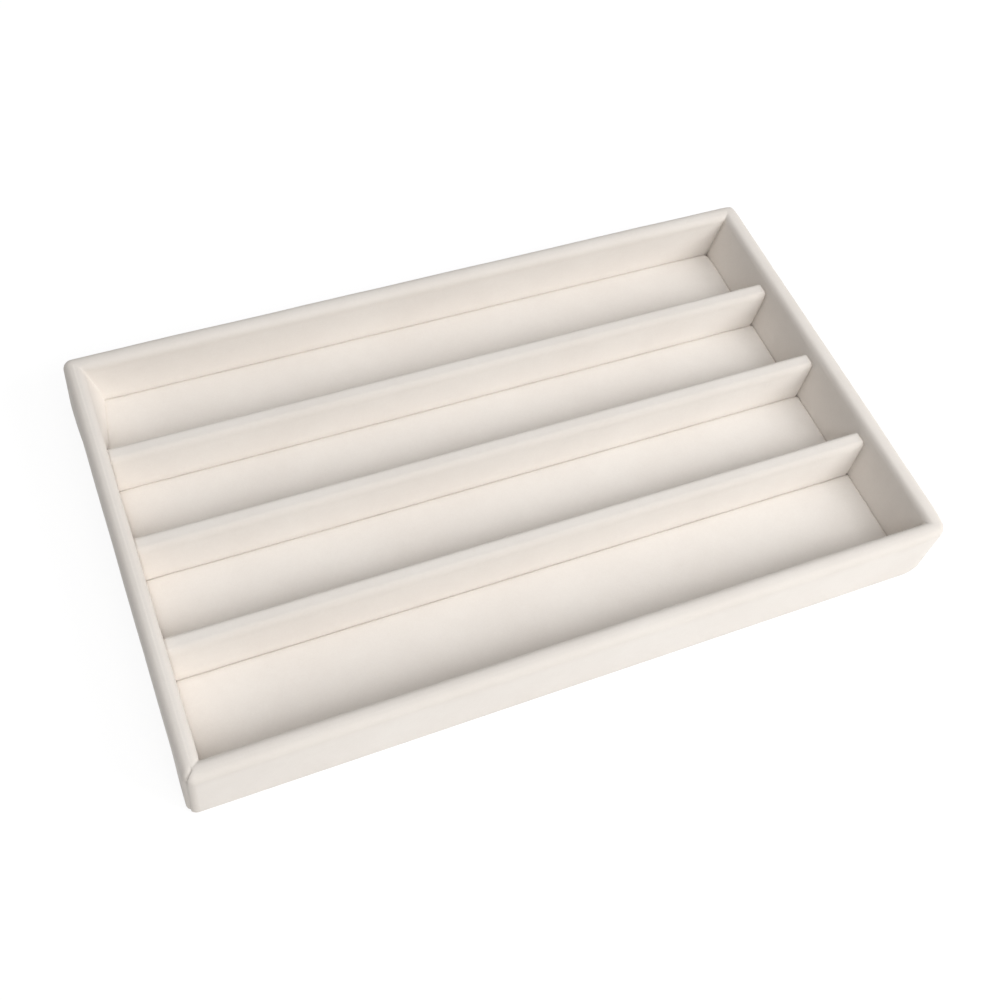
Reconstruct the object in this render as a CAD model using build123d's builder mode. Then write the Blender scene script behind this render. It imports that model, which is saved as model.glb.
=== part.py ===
"""A velvet-covered jewelry tray: four long lanes between three fixed dividers.

Lengths are in millimetres. X runs along the lanes, Y from the front wall to the
back wall and Z up. The origin is the centre of the underside.
"""
from build123d import *
import os

# Outside of the covered tray
outer_length = 352.0
outer_width = 215.0
outer_height = 32.5
corner_radius = 4.5
rim_radius = 3.8
foot_radius = 1.6

# Sheet goods
velvet_thickness = 1.0
wall_board_thickness = 6.0
base_board_thickness = 2.5
divider_board_thickness = 3.0
floor_card_thickness = 1.0
floor_foam_thickness = 2.4
underside_thickness = 0.5

# Padding behind the velvet, squeezed thin at an upper edge and full at the floor
padding_at_rim = 0.7
padding_at_floor = 2.3
right_padding_at_floor = 7.1
divider_padding_at_top = 1.2
divider_padding_at_floor = 4.2
divider_padding_at_end = 0.7

# Board joints
corner_rebate_depth = 3.0
base_rebate_depth = 3.0
tab_length = 36.0
tab_place_shares = (-0.32, 0.0, 0.32)

# Dividers: height of their velvet above the table, and each one's middle as a
# share of the width between the front and back rims
divider_height = 28.0
divider_edge_radius = 2.3
divider_end_radius = 3.1
divider_end_gap = 0.2
divider_names = ("front", "middle", "rear")
divider_place_shares = (0.267, 0.519, 0.763)

# Floor pads: the crown is how far their middle rises above their long sides
pad_gap = 0.2
pad_corner_radius = 2.2
pad_edge_radius = 1.4
pad_crown = 0.6

# Hem and underside
hem_width = 16.0
seam_gap = 0.3
underside_inset = 5.0
underside_corner_radius = 3.0

# One overrun for every cut that passes a face
overrun = 4.0

# Levels above the table
hem_bottom = underside_thickness
board_bottom = hem_bottom + velvet_thickness
base_top = board_bottom + base_board_thickness
card_top = base_top + floor_card_thickness
foam_top = card_top + floor_foam_thickness
floor_top = foam_top + velvet_thickness
board_top = outer_height - velvet_thickness
divider_core_top = divider_height - velvet_thickness
divider_board_top = divider_core_top - divider_padding_at_top

# Distances in from the outer face of a wall
board_inside = velvet_thickness + wall_board_thickness
rim_depth = board_inside + padding_at_rim + velvet_thickness
floor_depth = board_inside + padding_at_floor + velvet_thickness
right_floor_depth = board_inside + right_padding_at_floor + velvet_thickness

# Outer faces, and the middle of each divider
left, right = -outer_length / 2, outer_length / 2
front, back = -outer_width / 2, outer_width / 2
rim_to_rim = outer_width - 2 * rim_depth
divider_places = {
    name: front + rim_depth + share * rim_to_rim
    for name, share in zip(divider_names, divider_place_shares)
}
divider_half_at_top = divider_board_thickness / 2 + divider_padding_at_top + velvet_thickness
divider_half_at_floor = divider_board_thickness / 2 + divider_padding_at_floor + velvet_thickness

os.makedirs("parts", exist_ok=True)


def keep(part, name):
    """Labels a finished piece and writes its file."""
    part.label = name
    export_step(part, f"parts/{name}.step")
    print(f"{name}: {len(part.solids())} solid, {part.volume / 1000:.2f} cm3")


def hollow_section(low, low_depth, high, high_depth, grow, top, edge_radius):
    """The tray's hollow seen across one direction: it leans out to the rim and
    its upper edges are rounded. grow moves its sides into the walls."""
    low_floor, high_floor = low + low_depth - grow, high - high_depth + grow
    low_rim, high_rim = low + rim_depth - grow, high - rim_depth + grow
    with BuildSketch() as section:
        with BuildLine():
            Polyline(
                (low_floor, base_top),
                (high_floor, base_top),
                (high_floor, floor_top),
                (high_rim, top),
                (high_rim + edge_radius + overrun, top),
                (high_rim + edge_radius + overrun, top + overrun),
                (low_rim - edge_radius - overrun, top + overrun),
                (low_rim - edge_radius - overrun, top),
                (low_rim, top),
                (low_floor, floor_top),
                close=True,
            )
        make_face()
        rim_points = section.vertices().group_by(Axis.Y)[-2].sort_by(Axis.X)[1:3]
        fillet(rim_points, edge_radius)
    return section.sketch


def hollow(grow, top, edge_radius):
    """Makes the tray's hollow as a solid: one section along X meets one along Y,
    so that neighbouring walls and roundings meet in a mitre."""
    with BuildPart() as space:
        with BuildSketch(Plane.XZ):
            add(hollow_section(left, floor_depth, right, right_floor_depth, grow, top, edge_radius))
        extrude(amount=outer_width, both=True)
        with BuildSketch(Plane.YZ):
            add(hollow_section(front, floor_depth, back, floor_depth, grow, top, edge_radius))
        extrude(amount=outer_length, both=True, mode=Mode.INTERSECT)
    return space.part


# Boards and wall padding together, which the velvet is wrapped round
with BuildPart() as core:
    with BuildSketch(Plane.XY.offset(board_bottom)):
        RectangleRounded(
            outer_length - 2 * velvet_thickness,
            outer_width - 2 * velvet_thickness,
            corner_radius - velvet_thickness,
        )
    extrude(amount=board_top - board_bottom)
    fillet(core.faces().sort_by(Axis.Z)[-1].edges(), rim_radius - velvet_thickness)
    fillet(core.faces().sort_by(Axis.Z)[0].edges(), foot_radius - velvet_thickness)
    add(hollow(velvet_thickness, board_top, rim_radius - velvet_thickness), mode=Mode.SUBTRACT)

# Base board, let into a rebate round the foot of the walls, slotted for the tabs
base_length = outer_length - 2 * (board_inside - base_rebate_depth)
base_width = outer_width - 2 * (board_inside - base_rebate_depth)
tab_places = [share * outer_length for share in tab_place_shares]
slot_places = [(x, y) for y in divider_places.values() for x in tab_places]

with BuildPart() as base_board:
    with BuildSketch(Plane.XY.offset(board_bottom)):
        Rectangle(base_length, base_width)
        with Locations(*slot_places):
            Rectangle(tab_length, divider_board_thickness, mode=Mode.SUBTRACT)
    extrude(amount=base_board_thickness)
keep(base_board.part, "base_board")

# The rebate that the wall boards leave for the base board
with BuildPart() as base_room:
    with BuildSketch(Plane.XY.offset(board_bottom)):
        Rectangle(base_length, base_width)
    extrude(amount=base_board_thickness)

# Long wall boards, rebated at both ends for the end boards
board_face_x = right - velvet_thickness
board_face_y = back - velvet_thickness
end_board_half = board_face_y - wall_board_thickness + corner_rebate_depth

for name, side in (("front", -1), ("back", 1)):
    with BuildPart() as wall_board:
        with BuildSketch(Plane.XY.offset(board_bottom)):
            with Locations((0, side * (board_face_y - wall_board_thickness / 2))):
                Rectangle(2 * board_face_x, wall_board_thickness)
            with Locations(
                (board_face_x - wall_board_thickness / 2, 0),
                (wall_board_thickness / 2 - board_face_x, 0),
            ):
                Rectangle(wall_board_thickness, 2 * end_board_half, mode=Mode.SUBTRACT)
        extrude(amount=board_top - board_bottom)
        add(base_room.part, mode=Mode.SUBTRACT)
        add(core.part, mode=Mode.INTERSECT)
    keep(wall_board.part, f"{name}_wall_board")

# End boards, standing in the long boards' rebates
for name, side in (("left", -1), ("right", 1)):
    with BuildPart() as end_board:
        with BuildSketch(Plane.XY.offset(board_bottom)):
            with Locations((side * (board_face_x - wall_board_thickness / 2), 0)):
                Rectangle(wall_board_thickness, 2 * end_board_half)
        extrude(amount=board_top - board_bottom)
        add(base_room.part, mode=Mode.SUBTRACT)
        add(core.part, mode=Mode.INTERSECT)
    keep(end_board.part, f"{name}_end_board")

# Foam strips behind the lining, mitred where two meet
outer_corners = {
    "front_left": (left + board_inside, front + board_inside),
    "front_right": (right - board_inside, front + board_inside),
    "back_right": (right - board_inside, back - board_inside),
    "back_left": (left + board_inside, back - board_inside),
}
lining_left = left + floor_depth - velvet_thickness
lining_right = right - right_floor_depth + velvet_thickness
lining_front = front + floor_depth - velvet_thickness
lining_back = back - floor_depth + velvet_thickness
inner_corners = {
    "front_left": (lining_left, lining_front),
    "front_right": (lining_right, lining_front),
    "back_right": (lining_right, lining_back),
    "back_left": (lining_left, lining_back),
}
strips = {
    "front_wall": ("front_left", "front_right"),
    "right_end": ("front_right", "back_right"),
    "back_wall": ("back_right", "back_left"),
    "left_end": ("back_left", "front_left"),
}
for name, (start, end) in strips.items():
    with BuildPart() as padding:
        with BuildSketch(Plane.XY.offset(base_top)):
            with BuildLine():
                Polyline(
                    outer_corners[start],
                    outer_corners[end],
                    inner_corners[end],
                    inner_corners[start],
                    close=True,
                )
            make_face()
        extrude(amount=board_top - base_top)
        add(core.part, mode=Mode.INTERSECT)
    keep(padding.part, f"{name}_padding")

# Velvet strip round the walls: up the outside, over the rim, down the inside to
# the base board, and a hem turned under. Its ends meet at the front left corner.
with BuildPart() as wall_velvet:
    with BuildSketch(Plane.XY.offset(hem_bottom)):
        RectangleRounded(outer_length, outer_width, corner_radius)
    extrude(amount=outer_height - hem_bottom)
    fillet(wall_velvet.faces().sort_by(Axis.Z)[-1].edges(), rim_radius)
    fillet(wall_velvet.faces().sort_by(Axis.Z)[0].edges(), foot_radius)
    add(hollow(0, outer_height, rim_radius), mode=Mode.SUBTRACT)
    add(core.part, mode=Mode.SUBTRACT)
    with BuildSketch(Plane.XY.offset(hem_bottom)):
        Rectangle(outer_length - 2 * hem_width, outer_width - 2 * hem_width)
    extrude(amount=base_top - hem_bottom, mode=Mode.SUBTRACT)
    seam_plane = Plane(origin=(left, front, 0), x_dir=(1, 1, 0), z_dir=(0, 0, 1))
    with BuildSketch(seam_plane):
        Rectangle(2 * hem_width, seam_gap)
    extrude(amount=outer_height + overrun, mode=Mode.SUBTRACT)
keep(wall_velvet.part, "wall_velvet")


def divider_ends(level, room):
    """Where a divider ends in X at a level, as its ends follow the end linings."""
    rise = (level - floor_top) / (outer_height - floor_top)
    left_depth = floor_depth + (rim_depth - floor_depth) * rise
    right_depth = right_floor_depth + (rim_depth - right_floor_depth) * rise
    return left + left_depth + room, right - right_depth - room


def divider_form(place, skin):
    """Makes a divider's shape, less a skin: upright beside the floor pads, leaning in
    above them, with rounded ends and a rounded top."""
    top = divider_height - skin
    with BuildPart() as form:
        for level, half_width in ((floor_top, divider_half_at_floor), (top, divider_half_at_top)):
            low, high = divider_ends(level, divider_end_gap + skin)
            with BuildSketch(Plane.XY.offset(level)):
                with Locations(((low + high) / 2, place)):
                    RectangleRounded(high - low, 2 * (half_width - skin), divider_end_radius - skin)
        loft(ruled=True)
        fillet(form.faces().sort_by(Axis.Z)[-1].edges(), divider_edge_radius - skin)
        extrude(form.faces().sort_by(Axis.Z)[0], amount=floor_top - base_top)
    return form.part


# Dividers: a board with tabs in the base, foam folded over it, and velvet over all
board_end_room = divider_end_gap + velvet_thickness + divider_padding_at_end

for name, place in divider_places.items():
    padded_form = divider_form(place, velvet_thickness)
    low_floor, high_floor = divider_ends(floor_top, board_end_room)
    low_top, high_top = divider_ends(divider_board_top, board_end_room)

    with BuildPart() as divider_board:
        with BuildSketch(Plane.XZ.offset(-place)):
            with BuildLine():
                Polyline(
                    (low_floor, base_top),
                    (high_floor, base_top),
                    (high_floor, floor_top),
                    (high_top, divider_board_top),
                    (low_top, divider_board_top),
                    (low_floor, floor_top),
                    close=True,
                )
            make_face()
            with Locations(*[(x, board_bottom + base_board_thickness / 2) for x in tab_places]):
                Rectangle(tab_length, base_board_thickness)
        extrude(amount=divider_board_thickness / 2, both=True)
    keep(divider_board.part, f"{name}_divider_board")

    with BuildPart() as divider_padding:
        add(padded_form)
        add(divider_board.part, mode=Mode.SUBTRACT)
    keep(divider_padding.part, f"{name}_divider_padding")

    with BuildPart() as divider_velvet:
        add(divider_form(place, 0))
        add(padded_form, mode=Mode.SUBTRACT)
    keep(divider_velvet.part, f"{name}_divider_velvet")

# Floor pads fill the room between the end linings, one between each pair of uprights
pad_left = left + floor_depth + pad_gap
pad_right = right - right_floor_depth - pad_gap
lane_edges = [
    front + floor_depth,
    *[y + side * divider_half_at_floor for y in divider_places.values() for side in (-1, 1)],
    back - floor_depth,
]
lane_names = ("front", "second", "third", "rear")


def pad_section(pad_front, pad_back, skin):
    """A floor pad seen from its end, less a skin: its top rises in one arc from both
    long sides."""
    low, high, top = pad_front + skin, pad_back - skin, floor_top - skin
    side_top = top - pad_crown
    with BuildSketch() as section:
        with BuildLine():
            Polyline((low, side_top), (low, base_top), (high, base_top), (high, side_top))
            ThreePointArc((high, side_top), ((low + high) / 2, top), (low, side_top))
        make_face()
    return section.sketch


def pad_form(pad_front, pad_back, skin):
    """Makes a floor pad's shape, less a skin, with its plan corners and its upper
    edges rounded."""
    with BuildPart() as form:
        with BuildSketch(Plane.YZ.offset(pad_left + skin)):
            add(pad_section(pad_front, pad_back, skin))
        extrude(amount=pad_right - pad_left - 2 * skin)
        fillet(form.edges().filter_by(Axis.Z), pad_corner_radius - skin)
        above_base = form.edges().filter_by_position(
            Axis.Z, base_top, floor_top, inclusive=(False, True)
        )
        fillet(above_base - above_base.filter_by(Axis.Z), pad_edge_radius - skin)
    return form.part


# Floor pads: a card and a foam layer in a velvet cover that is open underneath
for index, name in enumerate(lane_names):
    pad_front = lane_edges[2 * index] + pad_gap
    pad_back = lane_edges[2 * index + 1] - pad_gap
    filling = pad_form(pad_front, pad_back, velvet_thickness)

    with BuildPart() as lane_card:
        with BuildSketch(Plane.XY.offset(base_top)):
            with Locations(((pad_left + pad_right) / 2, (pad_front + pad_back) / 2)):
                Rectangle(pad_right - pad_left, pad_back - pad_front)
        extrude(amount=floor_card_thickness)
        add(filling, mode=Mode.INTERSECT)
    keep(lane_card.part, f"{name}_lane_card")

    with BuildPart() as lane_foam:
        add(filling)
        add(lane_card.part, mode=Mode.SUBTRACT)
    keep(lane_foam.part, f"{name}_lane_foam")

    with BuildPart() as lane_velvet:
        add(pad_form(pad_front, pad_back, 0))
        add(filling, mode=Mode.SUBTRACT)
    keep(lane_velvet.part, f"{name}_lane_velvet")

# Sheet glued over the hem and the base board
with BuildPart() as underside_sheet:
    with BuildSketch():
        RectangleRounded(
            outer_length - 2 * underside_inset,
            outer_width - 2 * underside_inset,
            underside_corner_radius,
        )
    extrude(amount=underside_thickness)
keep(underside_sheet.part, "underside_sheet")
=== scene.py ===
"""Looks of a velvet-covered jewelry tray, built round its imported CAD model.

X runs along the lanes, Y from the front wall to the back wall and Z up, in metres,
as in the CAD model. The sizes in the classes are in millimetres.
"""
import logging
import math
from collections.abc import Callable, Iterable, Iterator, Sequence
from contextlib import contextmanager
from dataclasses import asdict, dataclass, field, fields
from enum import Enum
from functools import reduce

import bmesh
import bpy
import numpy as np
from mathutils import Matrix, Vector, noise


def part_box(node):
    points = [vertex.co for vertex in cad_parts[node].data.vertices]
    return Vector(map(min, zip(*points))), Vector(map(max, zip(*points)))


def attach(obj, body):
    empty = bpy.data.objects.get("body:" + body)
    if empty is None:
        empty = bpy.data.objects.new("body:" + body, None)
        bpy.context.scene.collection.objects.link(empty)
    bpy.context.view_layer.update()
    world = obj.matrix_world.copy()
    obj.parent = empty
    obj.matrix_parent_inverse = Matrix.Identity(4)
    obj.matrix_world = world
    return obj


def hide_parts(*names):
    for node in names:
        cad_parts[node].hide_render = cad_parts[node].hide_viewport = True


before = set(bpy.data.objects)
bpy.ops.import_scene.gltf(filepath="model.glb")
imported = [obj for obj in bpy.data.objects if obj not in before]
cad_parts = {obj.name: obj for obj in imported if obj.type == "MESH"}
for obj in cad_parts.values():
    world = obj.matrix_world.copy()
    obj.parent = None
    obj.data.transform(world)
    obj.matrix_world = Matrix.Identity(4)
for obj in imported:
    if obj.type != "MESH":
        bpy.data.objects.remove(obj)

log = logging.getLogger("jewelry_tray")
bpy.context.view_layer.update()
MM = 0.001


# Nodes


def operator(operation: str, reflected: bool = False) -> Callable[["Term", "Term | float"], "Term"]:
    """Makes the method behind one of Python's operators.

    Args:
        operation: The Math node's operation.
        reflected: Whether the other operand comes first, as in 1 - mask.

    Returns:
        A method that adds the Math node.
    """

    def method(self: "Term", other: "Term | float") -> "Term":
        """Adds the Math node of its two operands."""
        return self.math(operation, *((other, self) if reflected else (self, other)))

    return method


@dataclass(frozen=True)
class Term:
    """A node's output, which Python's operators turn into Math nodes."""

    sheet: "NodeSheet"
    socket: bpy.types.NodeSocket

    def math(self, operation: str, *operands: "Term | float") -> "Term":
        """Adds one Math node whose operands are given in order."""
        return self.sheet.add("ShaderNodeMath", {"operation": operation}, dict(enumerate(operands)))

    __add__ = __radd__ = operator("ADD")
    __mul__ = __rmul__ = operator("MULTIPLY")
    __sub__, __rsub__ = operator("SUBTRACT"), operator("SUBTRACT", True)
    __truediv__, __rtruediv__ = operator("DIVIDE"), operator("DIVIDE", True)
    least, most = operator("MINIMUM"), operator("MAXIMUM")

    def __abs__(self) -> "Term":
        """Size without its sign."""
        return self.math("ABSOLUTE", self)

    def within(self, limit: "Term") -> "Term":
        """The same value, held between a limit below 0 and one above."""
        return self.least(limit).most(0.0 - limit)

    def held(self) -> "Term":
        """The same value, held between 0 and 1."""
        return self.sheet.add("ShaderNodeMath", {"operation": "ADD", "use_clamp": True}, {0: self, 1: 0.0})


class NodeSheet:
    """One node tree under construction, of a material, the world or a modifier."""

    def __init__(self, tree: bpy.types.NodeTree) -> None:
        """Starts from an empty tree."""
        self.tree = tree
        tree.nodes.clear()

    def add(
        self,
        kind: str,
        settings: dict[str, object] | None = None,
        sockets: dict[int | str, object] | None = None,
        output: int | str = 0,
    ) -> Term | None:
        """Adds a node.

        Args:
            kind: Blender's name for the node's type.
            settings: The node's own settings, which are set first.
            sockets: Values or links of its inputs, by name or number.
            output: The output that the caller goes on with.

        Returns:
            That output, or nothing for a node that has none.
        """
        node = self.tree.nodes.new(kind)
        for name, value in (settings or {}).items():
            setattr(node, name, value)
        for key, value in (sockets or {}).items():
            if isinstance(value, Term):
                self.tree.links.new(value.socket, node.inputs[key])
            else:
                node.inputs[key].default_value = value
        return Term(self, node.outputs[output]) if len(node.outputs) else None

    def other(self, term: Term, output: int | str) -> Term:
        """Another output of the node that a term comes from."""
        return Term(self, term.socket.node.outputs[output])

    def scaled(self, vector: Term, share: Term | float) -> Term:
        """A vector times a number."""
        return self.add("ShaderNodeVectorMath", {"operation": "SCALE"}, {"Vector": vector, "Scale": share})

    def parts(self, vector: Term) -> tuple[Term, Term, Term]:
        """A vector's X, Y and Z."""
        first = self.add("ShaderNodeSeparateXYZ", None, {0: vector})
        return first, self.other(first, 1), self.other(first, 2)

    def joined(self, x: Term | float, y: Term | float, z: Term | float) -> Term:
        """A vector made from X, Y and Z."""
        return self.add("ShaderNodeCombineXYZ", None, {0: x, 1: y, 2: z})

    def blend(self, share: Term | float, first: object, second: object) -> Term:
        """A colour between two colours."""
        settings = {"data_type": "RGBA", "clamp_factor": True}
        return self.add("ShaderNodeMix", settings, {0: share, 6: first, 7: second}, 2)

    def grain(self, place: Term, size_mm: float, detail: float = 2.0, rough: float = 0.5) -> Term:
        """Soft noise whose patches are about size_mm across.

        Args:
            place: The position, in metres.
            size_mm: Width of a patch.
            detail: How many finer layers lie on it.
            rough: How strong those are.

        Returns:
            A value round one half.
        """
        sockets = {"Vector": place, "Scale": 1 / (size_mm * MM), "Detail": detail, "Roughness": rough}
        return self.add("ShaderNodeTexNoise", None, sockets)

    def layered(self, middle: float, *layers: tuple[float, Term]) -> Term:
        """A value made of layers of noise.

        Args:
            middle: The value where every noise is one half.
            layers: The strength and the noise of each.

        Returns:
            The value, held between 0 and 1.
        """
        return sum((strength * (noise_value - 0.5) for strength, noise_value in layers), middle).held()


# Finishes


def linear(red: int, green: int, blue: int) -> tuple[float, ...]:
    """A screen colour, 0 to 255, as Blender's linear colour."""
    shares = [value / 255 for value in (red, green, blue)]
    return (*[s / 12.92 if s <= 0.04045 else ((s + 0.055) / 1.055) ** 2.4 for s in shares], 1.0)


@dataclass(frozen=True)
class Finish:
    """What every finish has: two colours, a bump, its gloss and its sheen."""

    name: str
    slot: str
    light: tuple[float, ...]
    shade: tuple[float, ...]
    bump: float
    bump_mm: float
    gloss: float
    sheen: float = 0.0
    sheen_rough: float = 0.5
    sheen_tint: tuple[float, ...] = (1.0, 1.0, 1.0, 1.0)

    def material(self) -> bpy.types.Material:
        """The finish as a material, which is made once.

        Returns:
            The material.
        """
        found = bpy.data.materials.get(self.name)
        if found is not None:
            return found
        made = bpy.data.materials.new(self.name)
        made.use_nodes = True
        sheet = NodeSheet(made.node_tree)
        place = sheet.add("ShaderNodeTexCoord", None, None, "Object")
        sheet.add("ShaderNodeOutputMaterial", None, {"Surface": self.surface(sheet, place)})
        return made

    def surface(self, sheet: NodeSheet, place: Term) -> Term:
        """Builds the shader on the piece's own coordinates, which each finish does its way."""
        raise NotImplementedError

    def matt(self, sheet: NodeSheet, colour: Term, roughness: Term | float, height: Term) -> Term:
        """Adds the matt shader that all the finishes share.

        Args:
            sheet: The material's tree.
            colour: The colour.
            roughness: The roughness.
            height: How far the surface stands up, 0 to 1.

        Returns:
            The shader.
        """
        relief = {"Strength": self.bump, "Distance": self.bump_mm * MM, "Height": height}
        sockets = {
            "Base Color": colour,
            "Roughness": roughness,
            "Specular IOR Level": self.gloss,
            "Sheen Weight": self.sheen,
            "Sheen Roughness": self.sheen_rough,
            "Sheen Tint": self.sheen_tint,
            "Normal": sheet.add("ShaderNodeBump", None, relief),
        }
        return sheet.add("ShaderNodeBsdfPrincipled", None, sockets)

    def dress(self, piece: bpy.types.Object) -> None:
        """Puts the finish on a piece.

        Args:
            piece: The piece.
        """
        piece.data.materials.clear()
        piece.data.materials.append(self.material())


@dataclass(frozen=True)
class Velvet(Finish):
    """Short-pile cream velvet: pile tips, brushed patches, a soft sheen, and on front-facing bends a darker
    colour that is partly opened pile and partly painted shade.
    """

    name: str = "cream_velvet"
    slot: str = "velvet"
    light: tuple[float, ...] = linear(237, 232, 226)
    shade: tuple[float, ...] = linear(226, 219, 212)
    # Darker colour for front-facing bends: partly opened pile, partly painted shade over the highlights of
    # rounded edges.
    worn: tuple[float, ...] = linear(206, 197, 186)
    bump: float = 0.3
    bump_mm: float = 0.3
    gloss: float = 0.15
    sheen: float = 0.3
    sheen_rough: float = 0.45
    sheen_tint: tuple[float, ...] = linear(255, 250, 244)
    pile_mm: float = 0.45
    tuft_mm: float = 1.6
    brush_mm: float = 7.0
    patch_mm: float = 38.0
    # How far this painted edge shade darkens the velvet.
    open_pile_and_shade_share: float = 0.42

    def surface(self, sheet: NodeSheet, place: Term) -> Term:
        """Builds the shader; where the cloth bends round an edge that faces the front its colour darkens,
        partly as the pile opens and partly as painted shade that dulls the lamps' highlights there.

        Args:
            sheet: The material's tree.
            place: The piece's own coordinates.

        Returns:
            The shader.
        """
        pile = sheet.grain(place, self.pile_mm, 1.0)
        tuft = sheet.grain(place, self.tuft_mm, 2.0, 0.6)
        brush = sheet.grain(place, self.brush_mm)
        patch = sheet.grain(place, self.patch_mm, 1.0)
        lightness = sheet.layered(0.5, (0.45, pile), (0.3, tuft), (0.3, brush), (0.6, patch))
        # The bend attribute carries the painted edge shade: front-facing bends darken, partly for opened
        # pile and partly as painted shade.
        bend = sheet.add("ShaderNodeAttribute", {"attribute_name": "bend"}, None, "Fac")
        ground = sheet.blend(lightness, self.shade, self.light)
        colour = sheet.blend(self.open_pile_and_shade_share * bend, ground, self.worn)
        return self.matt(sheet, colour, 0.86 + 0.1 * tuft, 0.5 * pile + 0.35 * tuft + 0.15 * brush)


@dataclass(frozen=True)
class Board(Finish):
    """Pressed fibre board: straw-coloured, with paler and darker fibres."""

    name: str = "fibre_board"
    slot: str = "board"
    light: tuple[float, ...] = linear(196, 172, 138)
    shade: tuple[float, ...] = linear(150, 124, 92)
    bump: float = 0.35
    bump_mm: float = 0.3
    gloss: float = 0.3
    fibre_mm: float = 0.6
    fleck_mm: float = 2.4
    stretch: tuple[float, ...] = (0.3, 1.0, 1.0)

    def surface(self, sheet: NodeSheet, place: Term) -> Term:
        """Builds the shader from fibres that lie along X.

        Args:
            sheet: The material's tree.
            place: The piece's own coordinates.

        Returns:
            The shader.
        """
        along = sheet.add("ShaderNodeMapping", None, {"Vector": place, "Scale": self.stretch})
        fibre = sheet.grain(along, self.fibre_mm, 3.0, 0.7)
        fleck = sheet.grain(along, self.fleck_mm)
        tone = sheet.layered(0.5, (1.3, fibre), (1.1, fleck))
        return self.matt(sheet, sheet.blend(tone, self.shade, self.light), 0.72 + 0.2 * fibre, fibre)


@dataclass(frozen=True)
class Card(Finish):
    """Grey stiffener card with specks of recycled paper."""

    name: str = "grey_card"
    slot: str = "card"
    light: tuple[float, ...] = linear(186, 181, 172)
    shade: tuple[float, ...] = linear(150, 145, 137)
    speck: tuple[float, ...] = linear(104, 98, 92)
    bump: float = 0.25
    bump_mm: float = 0.15
    gloss: float = 0.25
    paper_mm: float = 1.1
    speck_mm: float = 1.8
    speck_from: float = 0.66

    def surface(self, sheet: NodeSheet, place: Term) -> Term:
        """Builds the shader from cloudy paper with a few dark specks.

        Args:
            sheet: The material's tree.
            place: The piece's own coordinates.

        Returns:
            The shader.
        """
        paper = sheet.grain(place, self.paper_mm, 4.0, 0.65)
        specks = sheet.grain(place, self.speck_mm, 3.0, 0.75)
        ground = sheet.blend(sheet.layered(0.5, (1.6, paper)), self.shade, self.light)
        dark = (14.0 * (specks - self.speck_from)).held()
        return self.matt(sheet, sheet.blend(dark, ground, self.speck), 0.8 + 0.12 * paper, paper)


@dataclass(frozen=True)
class Foam(Finish):
    """Open-cell upholstery foam, off-white, with its small round cells."""

    name: str = "upholstery_foam"
    slot: str = "foam"
    light: tuple[float, ...] = linear(240, 232, 206)
    shade: tuple[float, ...] = linear(206, 190, 150)
    bump: float = 0.6
    bump_mm: float = 0.4
    gloss: float = 0.1
    cell_mm: float = 0.7
    cloud_mm: float = 12.0

    def surface(self, sheet: NodeSheet, place: Term) -> Term:
        """Builds the shader from cells whose borders stand up and are paler.

        Args:
            sheet: The material's tree.
            place: The piece's own coordinates.

        Returns:
            The shader.
        """
        sockets = {"Vector": place, "Scale": 1 / (self.cell_mm * MM), "Smoothness": 0.4}
        cells = sheet.add("ShaderNodeTexVoronoi", {"feature": "SMOOTH_F1"}, sockets)
        cloud = sheet.grain(place, self.cloud_mm, 3.0)
        tone = sheet.layered(0.625, (1.25, cells), (0.7, cloud))
        return self.matt(sheet, sheet.blend(tone, self.shade, self.light), 0.9, cells)


@dataclass(frozen=True)
class Felt(Finish):
    """Thin matted felt, warm grey, with loose fibres that lie two ways."""

    name: str = "underside_felt_finish"
    slot: str = "felt"
    light: tuple[float, ...] = linear(226, 218, 206)
    shade: tuple[float, ...] = linear(196, 186, 172)
    bump: float = 0.5
    bump_mm: float = 0.3
    gloss: float = 0.15
    sheen: float = 0.15
    sheen_rough: float = 0.6
    fibre_mm: float = 0.5
    mat_mm: float = 4.0
    turns: tuple[float, float] = (0.6, -0.9)
    stretch: tuple[float, ...] = (1.0, 0.22, 1.0)

    def surface(self, sheet: NodeSheet, place: Term) -> Term:
        """Builds the shader from two layers of stretched fibres and a coarser mat.

        Args:
            sheet: The material's tree.
            place: The piece's own coordinates.

        Returns:
            The shader.
        """
        mat = sheet.grain(place, self.mat_mm, 3.0, 0.6)
        layers = []
        for turn in self.turns:
            sockets = {"Vector": place, "Rotation": (0.0, 0.0, turn), "Scale": self.stretch}
            layers.append(sheet.grain(sheet.add("ShaderNodeMapping", None, sockets), self.fibre_mm))
        fibre = layers[0].most(layers[1])
        tone = sheet.layered(0.45, (1.4, fibre), (0.9, mat))
        return self.matt(sheet, sheet.blend(tone, self.shade, self.light), 0.88 + 0.08 * mat, fibre)


VELVET, BOARD, CARD, FOAM, FELT = Velvet(), Board(), Card(), Foam(), Felt()


# Meshes


def piece_of(name: str, points: np.ndarray, faces: Iterable[Sequence[int]]) -> bpy.types.Object:
    """Makes a piece from points in metres and faces that look outwards.

    Args:
        name: The piece's name.
        points: One row of X, Y and Z for each point.
        faces: The numbers of each face's points.

    Returns:
        The new object, smooth-shaded and in the scene.
    """
    mesh = bpy.data.meshes.new(name)
    mesh.from_pydata([tuple(p) for p in points], [], [tuple(f) for f in faces])
    mesh.validate()
    mesh.shade_smooth()
    piece = bpy.data.objects.new(name, mesh)
    bpy.context.scene.collection.objects.link(piece)
    return piece


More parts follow.
